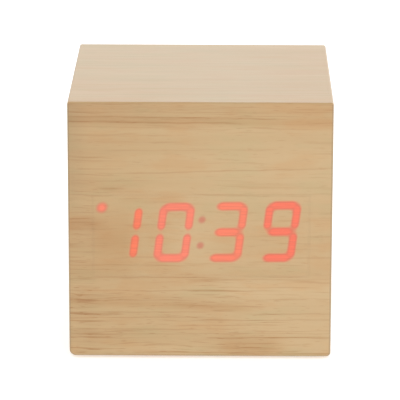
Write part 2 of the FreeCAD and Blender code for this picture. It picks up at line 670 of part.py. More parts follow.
def switch_legs():
    legs = []
    for x, z in switch_leg_spots():
        legs.append(box(span(0.35, x), (BOARD_FRONT, BOARD_REAR + 2.4), span(0.15, z)))
    return legs


def make_switches():
    bodies, covers = [], []
    cover_y = (BOARD_REAR + 3.4, BOARD_REAR + 3.7)
    for x in BUTTON_X.values():
        well = rod_y(1.85, x, CONTROL_Z, BOARD_REAR + 2.7 - BUTTON_TRAVEL - 0.3, cover_y[1])
        bodies.append(box(span(3.0, x), (BOARD_REAR, cover_y[0]), span(3.0, CONTROL_Z)).cut(well))
        covers.append(box(span(3.0, x), cover_y, span(3.0, CONTROL_Z)).cut(well))
    return {
        "switch_bodies": group(bodies),
        "switch_covers": group(covers),
        "switch_legs": group(switch_legs()),
    }


def make_jack():
    bore_r, depth = JACK_BORE
    mouth = BEZEL_OUT - 0.3
    floor = mouth - depth
    body = box(span(3.3, JACK_X), (BOARD_REAR, BEZEL_IN - 0.1), span(3.3, CONTROL_Z))
    body = fused([body, rod_y(2.6, JACK_X, CONTROL_Z, BEZEL_IN - 0.1, mouth)])
    root = rod_y(0.95, JACK_X, CONTROL_Z, floor - 1.2, floor)
    slot = box((JACK_X - 2.35, JACK_X - 1.6), (floor, floor + 7.4), span(1.05, CONTROL_Z))
    body = body.cut(rod_y(bore_r, JACK_X, CONTROL_Z, floor, mouth)).cut(slot).cut(root)
    shank_end = mouth - 1.4
    shank = rod_y(0.65, JACK_X, CONTROL_Z, floor, shank_end)
    point = Part.makeCone(0.65, 0.3, 0.4, V(JACK_X, shank_end, CONTROL_Z), ALONG_Y)
    leaf = box((JACK_X - 1.95, JACK_X - 1.65), (floor + 0.1, floor + 7.2), span(0.95, CONTROL_Z))
    return {"dc_jack_body": body, "dc_jack_pin": fused([root, shank, point]), "dc_jack_contact": leaf}


# ---- Main board and what is on it ----
def mic_leads():
    return [rod_y(0.2, MIC_AT[0] + dx, MIC_AT[1], BOARD_FRONT, BEZEL_IN - 2.5) for dx in span(0.9)]


def make_main_board():
    x, z = span(MAIN_BOARD[0] / 2), span(MAIN_BOARD[2] / 2, MAIN_BOARD_Z)
    spots = [(x, BEZEL_Z + z) for x, z in corners(*POST_AT)]
    holes = [rod_y(0.95, *spot, BOARD_FRONT, BOARD_REAR) for spot in spots]
    board = box(x, (BOARD_FRONT, BOARD_REAR), z).cut(group(holes + mic_leads() + switch_legs()))
    board_screws = [screw(V(x, BOARD_FRONT, z), -ALONG_Y, 6.4, 0.8, 1.6, 1.0, 0.6) for x, z in spots]
    seats = [V(x, FLANGE_IN, BEZEL_Z) for x in span(POST_AT[0])]
    bezel_screws = [screw(seat, -ALONG_Y, 4.3, 1.0, 1.8, 1.1, 0.7) for seat in seats]
    return {
        "main_board": board,
        "board_screws": group(board_screws),
        "bezel_screws": group(bezel_screws),
    }


def make_sounders():
    """The buzzer, the microphone and the leads of the parts that stand off the board."""
    buzzer = rod_y(4.5, BUZZER_X, CONTROL_Z, BOARD_REAR, BOARD_REAR + 4.6)
    buzzer = buzzer.cut(rod_y(0.8, BUZZER_X, CONTROL_Z, BOARD_REAR + 2.6, BOARD_REAR + 4.6))
    capsule = rod_y(2.2, *MIC_AT, BEZEL_IN - 2.5, BEZEL_IN - 0.1)
    felt = rod_y(1.9, *MIC_AT, BEZEL_IN - 0.1, BEZEL_IN)
    bead_at = V(22.6, BOARD_FRONT - 5.6, MAIN_BOARD_Z + 1.6)
    bead_leads = [rod_y(0.18, bead_at.x + dx, bead_at.z, bead_at.y + 0.9, BOARD_FRONT) for dx in span(0.4)]
    bead = Part.makeSphere(1.1, bead_at).cut(group(bead_leads))
    return {
        "buzzer": buzzer,
        "microphone": fused([capsule, felt]),
        "temperature_sensor": bead,
        "sensor_leads": group(mic_leads() + bead_leads),
    }


def make_coin_cell():
    """The cell that keeps the time while the power is off, in its holder on the board."""
    x, z = -9.5, MAIN_BOARD_Z + 0.6
    front = BOARD_FRONT
    holder = rounded_plate(span(11.3, x), span(11.3, z), [3.0] * 4, front - 4.2, front)
    holder = holder.cut(rod_y(10.2, x, z, front - 4.2, front - 0.8))
    holder = holder.cut(box(span(3.0, x), (front - 4.2, front - 0.8), (z - 13, z - 8)))
    strap = box(span(2.5, x), (front - 4.6, front - 4.3), (z - 2, z + 12.2))
    foot = box(span(2.5, x), (front - 4.6, front), (z + 11.9, z + 12.2))
    return {
        "coin_cell_holder": holder,
        "coin_cell": rod_y(10.0, x, z, front - 4.1, front - 0.9),
        "coin_cell_clip": fused([strap, foot]),
    }


def make_board_parts():
    front = BOARD_FRONT
    chip_at = (14.0, MAIN_BOARD_Z + 7.4)
    chip = box(span(5.0, chip_at[0]), (front - 1.9, front - 0.3), span(5.0, chip_at[1]))
    legs = []
    for axis in ("x", "z"):
        legs += gull_legs(chip_at, 5.0, 1.2, (front - 0.3, front), 0.8, 11, 0.18, axis)
    crystal_y, crystal_z = front - 1.1, MAIN_BOARD_Z - 4.0
    crystal = [rod_x(1.0, crystal_y, crystal_z, 8.0, 14.2)]
    crystal += [rod_x(0.15, crystal_y, crystal_z + dz, 7.0, 8.0) for dz in span(0.5)]
    can_at = (20.2, MAIN_BOARD_Z - 4.2)
    can = rounded_rim(rod_y(2.5, *can_at, front - 7.0, front), 0.5, lambda extent: extent.YMax < front - 6)
    long, short, score = 1.9, 0.15, (front - 7.0, front - 6.8)
    for half_x, half_z in ((long, short), (short, long)):
        can = can.cut(box(span(half_x, can_at[0]), score, span(half_z, can_at[1])))
    chips = []
    for i in range(8):
        chips.append(box(span(0.8, 5.4), (front - 0.5, front), span(0.4, MAIN_BOARD_Z + 1.6 * i)))
    for i in range(6):
        chips.append(box(span(0.8, -18.0 + 2.6 * i), (front - 0.5, front), span(0.4, MAIN_BOARD_Z - 12.4)))
    return {
        "microcontroller": chip,
        "microcontroller_legs": group(legs),
        "clock_crystal": group(crystal),
        "reservoir_capacitor": can,
        "main_board_chips": group(chips),
    }


# ---- Wiring between the boards and from the battery ----
def make_ribbon():
    half_width = CORES * CORE_PITCH / 2 + 1.0
    main_z, display_z = MAIN_BOARD_Z - 11.4, DIGITS_AT[1] - 10.4
    main_y, display_y = BOARD_FRONT - PLUG[0], DRIVER_REAR + PLUG[0]
    x = span(half_width, PLUG_X)
    cores = []
    for i in range(CORES):
        core_x = PLUG_X + (i - (CORES - 1) / 2) * CORE_PITCH
        points = [
            V(core_x, main_y, main_z),
            V(core_x, 3.0, main_z),
            V(core_x, -1.0, main_z + 10.0),
            V(core_x, -8.0, display_z),
            V(core_x, display_y, display_z),
        ]
        cores.append(bent_wire(points, 2.0, CORE_R))
    return {
        "main_plug": box(x, (main_y, BOARD_FRONT), span(PLUG[1] / 2, main_z)),
        "display_plug": box(x, (DRIVER_REAR, display_y), span(PLUG[1] / 2, display_z)),
        "ribbon_cable": group(cores),
    }


def make_battery_leads():
    made = {}
    tail_top = ROOF_TOP + TAIL_RISE
    pad_z = MAIN_BOARD_Z - MAIN_BOARD[2] / 2 + 1.8
    for name, (x, y), pad_x in zip(("black", "red"), tail_spots(), (-21.5, 22.6)):
        points = [
            V(x, y, tail_top),
            V(x, y, tail_top + 3.2),
            V(pad_x, BOARD_FRONT - 5.0, pad_z),
            V(pad_x, BOARD_FRONT, pad_z),
        ]
        made["battery_lead_" + name] = bent_wire(points, 1.2, LEAD_R)
    return made


SUB_PARTS = (
    make_film,
    make_panels,
    make_corner_blocks,
    make_led_block,
    make_driver_board,
    make_display_fixings,
    make_base_plate,
    make_door,
    make_feet_and_screws,
    make_cells,
    make_contact_springs,
    make_contact_plates,
    make_bezel,
    make_buttons,
    make_switches,
    make_jack,
    make_main_board,
    make_sounders,
    make_coin_cell,
    make_board_parts,
    make_ribbon,
    make_battery_leads,
)


def main():
    os.makedirs("parts", exist_ok=True)
    for make in SUB_PARTS:
        for name, shape in make().items():
            shape.exportStep(f"parts/{name}.step")


main()
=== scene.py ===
import math

import bpy
from mathutils import Matrix, Vector


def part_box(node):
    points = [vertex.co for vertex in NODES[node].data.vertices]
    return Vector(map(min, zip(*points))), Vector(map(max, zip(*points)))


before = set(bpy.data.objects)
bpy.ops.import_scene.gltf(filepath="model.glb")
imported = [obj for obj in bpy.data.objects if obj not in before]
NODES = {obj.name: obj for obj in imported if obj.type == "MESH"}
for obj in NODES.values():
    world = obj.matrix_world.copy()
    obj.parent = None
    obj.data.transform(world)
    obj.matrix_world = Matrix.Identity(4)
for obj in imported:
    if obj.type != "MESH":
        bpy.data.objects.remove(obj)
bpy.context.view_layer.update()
MM = 0.001

# ---- The clock's own places, read from the frame (metres) ----
FILM_LOW, FILM_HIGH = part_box("film_wrap")
FACE_Y = FILM_LOW[1]
CASE_BASE = FILM_LOW[2]
CUBE = FILM_HIGH[0] - FILM_LOW[0]


# ---- A small language for node graphs ----
def srgb(r, g, b):
    """A linear colour from 0-255 display values."""
    def linear(v):
        v /= 255
        return v / 12.92 if v <= 0.04045 else ((v + 0.055) / 1.055) ** 2.4
    return (linear(r), linear(g), linear(b), 1.0)


def adjusted(colour, gain, lift=0.0):
    """A colour with its three channels multiplied by gain and raised by lift."""
    return tuple(min(1.0, v * gain + lift) for v in colour[:3]) + (1.0,)


class Graph:
    """Builds the node tree of a material or a group. Values may be numbers, tuples or output sockets."""

    def __init__(self, tree):
        self.tree = tree

    def node(self, kind, inputs=(), **settings):
        """A new shader node with its settings made and its inputs fed."""
        made = self.tree.nodes.new("ShaderNode" + kind)
        for name, value in settings.items():
            setattr(made, name, value)
        for key, value in dict(inputs).items():
            self.feed(made.inputs[key], value)
        return made

    def feed(self, socket, value):
        """Links an output to an input, or sets the input to a plain value."""
        if isinstance(value, bpy.types.NodeSocket):
            self.tree.links.new(value, socket)
        else:
            socket.default_value = value

    def math(self, operation, *values, clamp=False):
        return self.node("Math", enumerate(values), operation=operation, use_clamp=clamp).outputs[0]

    def chain(self, operation, values):
        """One operation applied to all the values, from left to right."""
        result = values[0]
        for value in values[1:]:
            result = self.math(operation, result, value)
        return result

    def add(self, *values):
        return self.chain("ADD", values)

    def mul(self, *values):
        return self.chain("MULTIPLY", values)

    def largest(self, *values):
        return self.chain("MAXIMUM", values)

    def sub(self, a, b):
        return self.math("SUBTRACT", a, b)

    def absolute(self, value):
        return self.math("ABSOLUTE", value)

    def step(self, value, low, high, out_low=0.0, out_high=1.0):
        """A smooth step from out_low at low to out_high at high."""
        inputs = {0: value, 1: low, 2: high, 3: out_low, 4: out_high}
        return self.node("MapRange", inputs, interpolation_type="SMOOTHSTEP").outputs[0]

    def ramp(self, value, low, high, out_low=0.0, out_high=1.0):
        """A straight ramp from out_low at low to out_high at high, held at both ends."""
        inputs = {0: value, 1: low, 2: high, 3: out_low, 4: out_high}
        return self.node("MapRange", inputs).outputs[0]

    def band(self, value, middle, half, soft):
        """1 within half of the middle, fading to 0 over soft beyond it."""
        return self.step(self.absolute(self.sub(value, middle)), half, half + soft, 1.0, 0.0)

    def place(self):
        """The point in the row frame, in millimetres, as (vector, x, y, z)."""
        point = self.node("TexCoord").outputs["Object"]
        scaled = self.node("VectorMath", {0: point, 3: 1.0 / MM}, operation="SCALE").outputs[0]
        split = self.node("SeparateXYZ", {0: scaled})
        return scaled, split.outputs[0], split.outputs[1], split.outputs[2]

    def normal(self):
        """The surface's direction, as (x, y, z)."""
        split = self.node("SeparateXYZ", {0: self.node("TexCoord").outputs["Normal"]})
        return split.outputs[0], split.outputs[1], split.outputs[2]

    def vector(self, x, y, z):
        return self.node("CombineXYZ", {0: x, 1: y, 2: z}).outputs[0]

    def stretched(self, point, x, y, z):
        return self.node("VectorMath", {0: point, 1: (x, y, z)}, operation="MULTIPLY").outputs[0]

    def grain(self, point, side, along, across):
        """The point scaled by one number along the grain, and by another across it. The grain runs along X,
        and along Y where side is 1."""
        along_x = self.stretched(point, along, across, across)
        along_y = self.stretched(point, across, along, across)
        return self.node("Mix", {0: side, 4: along_x, 5: along_y}, data_type="VECTOR").outputs[1]

    def noise(self, point, scale=1.0, detail=2.0, roughness=0.5):
        inputs = {"Vector": point, "Scale": scale, "Detail": detail, "Roughness": roughness}
        return self.node("TexNoise", inputs).outputs[0]

    def mix(self, factor, a, b, blend="MIX"):
        inputs = {0: factor, 6: a, 7: b}
        return self.node("Mix", inputs, data_type="RGBA", blend_type=blend).outputs[2]

    def tint(self, factor, base, colour):
        """The base multiplied by a colour, as far as the factor says."""
        return self.mix(factor, base, colour, "MULTIPLY")

    def colours(self, factor, stops):
        """A colour ramp from (place, colour) pairs."""
        made = self.node("ValToRGB", {0: factor})
        points = made.color_ramp.elements
        points[0].position, points[0].color = stops[0]
        points[1].position, points[1].color = stops[-1]
        for position, colour in stops[1:-1]:
            points.new(position).color = colour
        return made.outputs[0]

    def bump(self, height, distance_mm, strength):
        inputs = {"Height": height, "Distance": distance_mm * MM, "Strength": strength}
        return self.node("Bump", inputs).outputs[0]

    def call(self, group, values):
        """The result of a node group that is given the values."""
        made = self.node("Group", node_tree=group)
        for socket, value in zip(made.inputs, values):
            self.feed(socket, value)
        return made.outputs[0]


def material(name):
    """A new material with its graph and its empty Principled shader."""
    made = bpy.data.materials.new(name)
    made.use_nodes = True
    made.node_tree.nodes.clear()
    graph = Graph(made.node_tree)
    shader = graph.node("BsdfPrincipled")
    graph.node("OutputMaterial", {0: shader.outputs[0]})
    return made, graph, shader


def node_of_type(made, kind):
    """A material's one node of a kind."""
    return next(node for node in made.node_tree.nodes if node.type == kind)


def set_inputs(shader, **values):
    """Sets inputs that are the same all over, such as coat_weight=0.5 for Coat Weight."""
    for name, value in values.items():
        shader.inputs[name.replace("_", " ").title()].default_value = value


def dress(names, made):
    """Gives CAD nodes a material."""
    for name in names:
        mesh = NODES[name].data
        mesh.materials.clear()
        mesh.materials.append(made)


# ---- Camera: a long lens from a little above ----
LENS = 264.4  # millimetres, like the sensor's width
SENSOR = 36.0
VIEW_END = 20.0
# From the case's middle, its front face and its lower edge, in widths of the case.
CAMERA_RIGHT = 0.0975
CAMERA_BACK = 10.68
CAMERA_UP = 3.612
# In radians: to the left, down, and about the line of sight.
CAMERA_YAW = 0.0092
CAMERA_PITCH = 0.273
CAMERA_ROLL = 0.002


def make_camera():
    data = bpy.data.cameras.new("camera")
    data.lens = LENS
    data.sensor_width = SENSOR
    data.clip_end = VIEW_END
    camera = bpy.data.objects.new("camera", data)
    bpy.context.scene.collection.objects.link(camera)
    stand = Vector((CAMERA_RIGHT * CUBE, FACE_Y - CAMERA_BACK * CUBE, CASE_BASE + CAMERA_UP * CUBE))
    turn = Matrix.Rotation(CAMERA_YAW, 4, "Z") @ Matrix.Rotation(math.pi / 2 - CAMERA_PITCH, 4, "X")
    camera.matrix_world = Matrix.Translation(stand) @ turn @ Matrix.Rotation(CAMERA_ROLL, 4, "Z")
    bpy.context.scene.camera = camera


# ---- Studio: a pale floor in a light tent ----
FLOOR_REACH = 3.0
FLOOR_GLOW = 0.45
TENT_GLOW = 0.9
WHITE = (1.0, 1.0, 1.0, 1.0)
WARM_LAMP = (1.0, 0.97, 0.86)


def make_floor():
    mesh = bpy.data.meshes.new("floor")
    corners = [(-1, -1), (1, -1), (1, 1), (-1, 1)]
    points = [(x * FLOOR_REACH, y * FLOOR_REACH, 0) for x, y in corners]
    mesh.from_pydata(points, [], [(0, 1, 2, 3)])
    floor = bpy.data.objects.new("floor", mesh)
    bpy.context.scene.collection.objects.link(floor)
    made, graph, shader = material("floor")
    point = graph.place()[0]
    tone = graph.ramp(graph.noise(point, 0.02), 0.3, 0.7, 0.90, 0.92)
    graph.feed(shader.inputs["Base Color"], graph.vector(tone, tone, tone))
    set_inputs(shader, roughness=0.7, emission_color=WHITE, emission_strength=FLOOR_GLOW)
    # Seen from below it isn't there, so that the underside can be looked at.
    clear = graph.node("BsdfTransparent")
    from_below = graph.node("NewGeometry").outputs["Backfacing"]
    blend = graph.node("MixShader", {0: from_below, 1: shader.outputs[0], 2: clear.outputs[0]})
    graph.feed(node_of_type(made, "OUTPUT_MATERIAL").inputs[0], blend.outputs[0])
    mesh.materials.append(made)


def make_light(name, where, size, power, colour=(1.0, 1.0, 1.0)):
    """A round lamp of so many metres and watts that points at the middle of the case."""
    data = bpy.data.lights.new(name, "AREA")
    data.color = colour
    data.shape = "DISK"
    data.size = size
    data.energy = power
    light = bpy.data.objects.new(name, data)
    light.location = where
    aim = Vector((0, 0, CUBE / 2)) - Vector(where)
    light.rotation_euler = aim.to_track_quat("-Z", "Y").to_euler()
    bpy.context.scene.collection.objects.link(light)


def make_studio():
    world = bpy.data.worlds.new("tent")
    world.use_nodes = True
    background = world.node_tree.nodes["Background"]
    background.inputs[0].default_value = WHITE
    background.inputs[1].default_value = TENT_GLOW
    scene = bpy.context.scene
    scene.world = world
    scene.view_settings.view_transform = "Standard"
    scene.view_settings.look = "None"
    make_floor()
    make_light("front_right", (0.45, -0.9, 0.45), size=0.5, power=1.46)
    make_light("behind", (0.1, 1.15, 0.36), size=0.9, power=1.0, colour=WARM_LAMP)


# ---- Lines and patches of the wood on the front, and a painted glow of the display, drawn one by one ----
# Each row: height, rise per mm to the right, left end, right end, half width and strength. In millimetres
# from the case's middle and its lower edge. First the darker growth lines.
STREAKS = (
    (60.6, -0.004, -34, 12, 0.9, 0.14),
    (59.6, -0.004, -34, 18, 0.16, 0.20),
    (57.9, -0.008, -34, 12, 0.7, 0.08),
    (58.3, -0.010, -34, 19, 0.20, 0.32),
    (57.1, -0.012, -34, 12, 0.20, 0.42),
    (55.9, -0.010, -34, 4, 0.16, 0.16),
    (52.4, 0.0, -14, -3, 0.18, 0.22),
    (50.6, 0.01, -24, 20, 0.15, 0.16),
    (48.9, 0.006, -30, -20, 0.25, 0.22),
    (45.4, 0.030, -20, 34, 0.16, 0.30),
    (43.2, 0.004, -34, -8, 0.14, 0.18),
    (42.3, 0.0, 6, 24, 0.7, 0.10),
    (41.3, 0.0, -26, -15, 0.45, 0.34),
    (39.8, 0.008, -4, 34, 0.16, 0.18),
    (33.6, -0.010, -36, -24.0, 0.18, 0.42),
    (32.7, -0.010, -36, -22.0, 0.14, 0.34),
    (32.2, -0.004, -36, -20.0, 1.4, 0.20),
    (31.2, -0.004, -36, -26.0, 0.14, 0.34),
    (29.9, 0.0, -36, -23.0, 0.14, 0.22),
    (27.0, 0.0, -36, -26.5, 0.26, 0.36),
    (23.6, 0.002, -34, -25, 0.20, 0.34),
    (22.6, 0.004, -34, 2, 0.16, 0.22),
    (19.6, 0.004, -31, 4, 0.18, 0.30),
    (19.0, 0.006, -2, 34, 0.14, 0.20),
    (16.3, 0.002, -34, 22, 0.14, 0.26),
    (14.2, -0.004, -34, 3, 0.9, 0.10),
    (13.9, -0.004, -24, 0, 0.14, 0.26),
    (12.5, -0.020, -8, 10, 0.9, 0.14),
    (12.0, 0.0, -34, -22, 0.14, 0.26),
    (11.0, 0.004, -34, 6, 0.16, 0.28),
    (10.6, 0.004, 12, 34, 0.13, 0.34),
    (9.7, 0.006, -34, 4, 0.13, 0.30),
    (9.0, 0.004, -4, 24, 0.16, 0.32),
    (7.7, 0.010, -8, 22, 0.15, 0.34),
    (6.7, 0.002, -32, 2, 0.15, 0.34),
    (5.6, 0.006, -34, 34, 0.13, 0.24),
    (4.6, 0.004, 0, 34, 0.14, 0.36),
    (3.2, 0.0, 3, 22, 2.2, 0.06),
    (3.0, 0.0, -14, -2, 0.14, 0.34),
    (2.0, 0.0, 2, 22, 0.24, 0.24),
    (0.9, -0.004, -16, 34, 0.16, 0.38),
)
# Soft patches where the wood is warmer.
WARM_PATCHES = (
    (57.4, -0.006, -38, 38, 1.1, 0.66),
    (60.4, 0.0, 4, 42, 1.8, 0.50),
    (56.0, 0.0, 12, 42, 1.6, 0.12),
    (46.0, 0.0, -38, -18, 7.0, 0.14),
    (41.0, 0.0, -29, -10, 3.0, 0.20),
    (32.6, 0.0, -38, -21, 1.5, 0.76),
    (38.8, 0.0, -20, -2, 1.2, 0.35),
    (28.8, 0.0, -27, -12.5, 6.0, 0.95),
    (28.0, 0.0, -42, -20, 3.0, 0.25),
    (21.8, 0.0, -38, -13, 2.6, 0.42),
    (20.6, 0.0, 4, 32, 1.3, 0.34),
    (29.5, 0.0, 3, 42, 6.0, 0.24),
    (12.5, -0.03, -38, 15, 1.0, 0.72),
    (2.2, 0.0, 3, 23, 2.4, 0.60),
)
# Soft patches where it is paler, and one painted glow of the display's light round the colon.
PALE_AND_GLOW_PATCHES = (
    (60.3, 0.0, -36, -2, 1.4, 0.06),
    # Painted glow: this row is the display's light spreading through the film round the colon, not paler
    # wood.
    (28.4, 0.0, -10, 5, 4.5, 0.24),
    (17.0, 0.0, 2, 42, 2.4, 0.16),
    (10.5, 0.0, 8, 42, 5.0, 0.18),
    (2.5, 0.0, 15, 42, 3.0, 0.36),
    (1.8, 0.0, -34, 4, 2.4, 0.26),
)
# Over how many millimetres a line comes in at its left end, and goes out at its right end.
STREAK_ENTRY = 5.0
STREAK_EXIT = 6.0

# ---- The display (millimetres; U runs along the row of digits and W up them) ----
DISPLAY_MIDDLE = (0.12, 30.65)  # from the case's middle and its lower edge
DIGIT_PITCH = 12.46
HALF_WIDTH = 3.22
HALF_HEIGHT = 6.24
SLANT = 0.145
TILT = math.radians(0.76)
HEIGHT_GAIN = 1.006  # scales the digits' height in the middle of the row
HEIGHT_FAN = 0.001  # and how much that scale grows for each mm to the right
FIRST_NUDGE = 0.27  # the first digit stands a little to the right
# From a digit's corners to the middles of the bars' rounded ends: of the level bars at the top and bottom,
# of the crossbar, and of the upright bars at the digit's ends, and below and above its waist.
LEVEL_GAP = 1.55
CROSSBAR_GAP = 1.85
UPRIGHT_GAP = 1.2
LOW_WAIST_GAP = 1.5
HIGH_WAIST_GAP = 1.8
LONE_GAP = 0.14  # the two bars of a 1 are shorter at both ends
# How fast the light fades outside a bar, as scales of the distance along U and along W.
LEVEL_FADE = (0.62, 0.95)
UPRIGHT_FADE = (1.03, 0.85)
BAR_JOIN = 1.5  # how softly the light of neighbouring bars runs together
# Each bar's two ends, in half widths and half heights from the digit's middle.
SEGMENTS = {
    "a": ((-1, 1), (1, 1)),
    "b": ((1, 1), (1, 0)),
    "c": ((1, 0), (1, -1)),
    "d": ((-1, -1), (1, -1)),
    "e": ((-1, 0), (-1, -1)),
    "f": ((-1, 1), (-1, 0)),
    "g": ((-1, 0), (1, 0)),
}
ONE = "bc"
SHOWN = (ONE, "abcdef", "abcdg", "abcdfg")
DIGIT_TINT = (srgb(255, 98, 50), srgb(255, 112, 88), srgb(255, 108, 74), srgb(255, 84, 56))
TINT_CHANGE = (-7.0, -6.0)  # where a digit's tint takes over from the last one's, from the digit's middle
COLON_DOTS = ((-0.08, 3.05), (0.33, -3.2))
SIGNAL_DOT = (-23.98, 6.36)
# How far from the middle of a bar or dot its painted glow in the film's colour or its light ends, and where
# it is full.
BAR_GLOW_PAINT = (1.28, 0.64)
BAR_LIGHT = (1.34, 0.40)
SIGNAL_GLOW_PAINT = (1.80, 0.70)
SIGNAL_LIGHT = (1.75, 0.30)
COLON_LIGHT = (1.25, 0.35)
HALO = (2.8, 0.9)
SIGNAL_TINT_REACH = (3.0, 2.0)
SIGNAL_TINT = srgb(255, 94, 74)
# Painted glow: the red the film's colour takes round the lit bars and the colon, standing in for the
# display's light.
BAR_PAINTED_GLOW_COLOUR = srgb(142, 57, 40)
COLON_PAINTED_GLOW_COLOUR = srgb(150, 78, 60)
BAR_POWER = 0.57
HALO_POWER = 0.012
COLON_POWER = 0.16


def new_group(name, numbers):
    """A node group that turns numbers into one number, as (tree, graph, inputs, socket for the result)."""
    tree = bpy.data.node_groups.new(name, "ShaderNodeTree")
    for item in numbers:
        tree.interface.new_socket(item, in_out="INPUT", socket_type="NodeSocketFloat")
    tree.interface.new_socket("Value", in_out="OUTPUT", socket_type="NodeSocketFloat")
    entry = tree.nodes.new("NodeGroupInput")
    leave = tree.nodes.new("NodeGroupOutput")
    return tree, Graph(tree), entry.outputs[:len(numbers)], leave.inputs[0]


def bar_group():
    """Distance to a bar: a point, the bar's middle, its half lengths, and a scale each way for soft ends."""
    names = ("U", "W", "MidU", "MidW", "HalfU", "HalfW", "ScaleU", "ScaleW")
    tree, graph, given, result = new_group("bar_distance", names)
    squares = []
    for axis in (0, 1):
        value, middle, half, scale = list(given)[axis::2]
        away = graph.absolute(graph.sub(value, middle))
        scaled = graph.mul(graph.largest(graph.sub(away, half), 0.0), scale)
        squares.append(graph.mul(scaled, scaled))
    graph.feed(result, graph.math("SQRT", graph.add(*squares)))
    return tree


def streak_group():
    """The strength of a line or a patch at a point, given where its middle runs."""
    names = ("X", "Z", "Height", "Rise", "Left", "Right", "Half", "Strength")
    tree, graph, given, result = new_group("streak", names)
    x, z, height, rise, left, right, half, strength = given
    line = graph.add(height, graph.mul(x, rise))
    off = graph.math("DIVIDE", graph.sub(z, line), half)
    bell = graph.math("EXPONENT", graph.mul(off, off, -1.0))
    enter = graph.step(graph.sub(x, left), 0.0, STREAK_ENTRY)
    leave = graph.step(graph.sub(right, x), 0.0, STREAK_EXIT)
    graph.feed(result, graph.mul(bell, graph.mul(enter, leave), strength))
    return tree


def bar_of(digit_middle, shown, name):
    """A lit bar's middle, half lengths and fade, along U and W."""
    (start_u, start_w), (end_u, end_w) = SEGMENTS[name]
    middle_u = digit_middle + HALF_WIDTH * (start_u + end_u) / 2
    middle_w = HALF_HEIGHT * (start_w + end_w) / 2
    if start_w == end_w:
        gap = LEVEL_GAP if start_w else CROSSBAR_GAP
        return (middle_u, middle_w, HALF_WIDTH - gap, 0.0) + LEVEL_FADE
    waist_gap = HIGH_WAIST_GAP if middle_w > 0 else LOW_WAIST_GAP
    middle_w += (waist_gap - UPRIGHT_GAP) / 2 * (start_w + end_w)
    half_w = (HALF_HEIGHT - UPRIGHT_GAP - waist_gap) / 2
    if shown == ONE:
        half_w -= LONE_GAP
    return (middle_u, middle_w, 0.0, half_w) + UPRIGHT_FADE


def display_light(graph, x, z):
    """The display on the front face, as (tint, distance to the bars, to the colon, to the signal dot)."""
    across = graph.sub(x, DISPLAY_MIDDLE[0])
    up = graph.sub(z, DISPLAY_MIDDLE[1] + CASE_BASE / MM)
    cos = math.cos(TILT)
    sin = math.sin(TILT)
    row_u = graph.add(graph.mul(across, cos), graph.mul(up, sin))
    row_w = graph.sub(graph.mul(up, cos), graph.mul(across, sin))
    w = graph.math("DIVIDE", row_w, graph.add(graph.mul(row_u, HEIGHT_FAN), HEIGHT_GAIN))
    u = graph.sub(row_u, graph.mul(w, SLANT))
    distance_to = bar_group()
    tint = DIGIT_TINT[0]
    bars = None
    for digit, shown in enumerate(SHOWN):
        middle = (digit - 1.5) * DIGIT_PITCH + (0.0 if digit else FIRST_NUDGE)
        for name in shown:
            distance = graph.call(distance_to, (u, w) + bar_of(middle, shown, name))
            bars = distance if bars is None else graph.math("SMOOTH_MIN", bars, distance, BAR_JOIN)
        if digit:
            change = graph.step(u, middle + TINT_CHANGE[0], middle + TINT_CHANGE[1])
            tint = graph.mix(change, tint, DIGIT_TINT[digit])
    round_dot = (0.0, 0.0, 1.0, 1.0)
    colon = [graph.call(distance_to, (u, w) + dot + round_dot) for dot in COLON_DOTS]
    signal = graph.call(distance_to, (u, w) + SIGNAL_DOT + round_dot)
    return tint, bars, graph.math("MINIMUM", *colon), signal


# ---- Wood-grain film with the display shining through it ----
# How far a surface's direction must turn for it to count as one of the sides, the front or the top.
SIDE_TURN = (0.6, 0.8)
FRONT_TURN = (0.8, 0.95)
TOP_TURN = (0.7, 0.9)
# The front's browner and more closely lined parts, and the painted shade at its left edge, from where each
# begins to where it is full (mm).
UPPER_BAND_Z = (55.5, 58.5)
LOWER_PART_Z = (24.0, 12.0)
LEFT_PART_X = (14.0, -30.0)
LEFT_EDGE_X = (-22.5, -26.5)
LEFT_EDGE_Z = (50.0, 42.0)
CALM_RIGHT_X = (31.0, 12.0)
# Painted shade: the upper part of the front's left edge is darkened towards black.
SHADE_X = (-25.0, -31.0)
SHADE_Z = (33.0, 42.0)
# The top's rosier parts: its front left corner, and its right side.
ROSY_CORNER_X = (2.0, -16.0)
ROSY_CORNER_Y = (-2.0, -14.0)
ROSY_RIGHT_X = (8.0, 26.0)
# The outline of the display's window: its middle across and up, its half sizes, its line's half width and
# softness, and how far past its corners each line ends and where it is full (mm).
WINDOW_X = 0.2
WINDOW_Z = 30.4
WINDOW_HALF_X = 25.4
WINDOW_HALF_Z = 9.9
WINDOW_LINE = (0.15, 0.35)
WINDOW_CORNER = (0.5, -0.1)
PLAIN_LINING = 0.8  # how closely lined the sides and the back are
WOOD_STOPS = [(0.0, srgb(192, 162, 118)), (0.45, srgb(182, 150, 104)), (1.0, srgb(162, 123, 76))]
LINE_TINT = (0.64, 0.41, 0.12, 1.0)
PINK_TINT = (1.0, 0.93, 0.86, 1.0)
GREEN_TINT = (0.95, 1.0, 0.99, 1.0)
WARM_TINT = (0.93, 0.83, 0.70, 1.0)
TOP_TINT = (1.0, 0.95, 0.80, 1.0)
ROSY_TINT = (1.0, 0.935, 0.84, 1.0)
BLACK = (0.0, 0.0, 0.0, 1.0)
# Painted shade for the rounded edges.
EDGE_SHADE_COLOUR = srgb(100, 90, 70)
WINDOW_COLOUR = srgb(120, 90, 60)


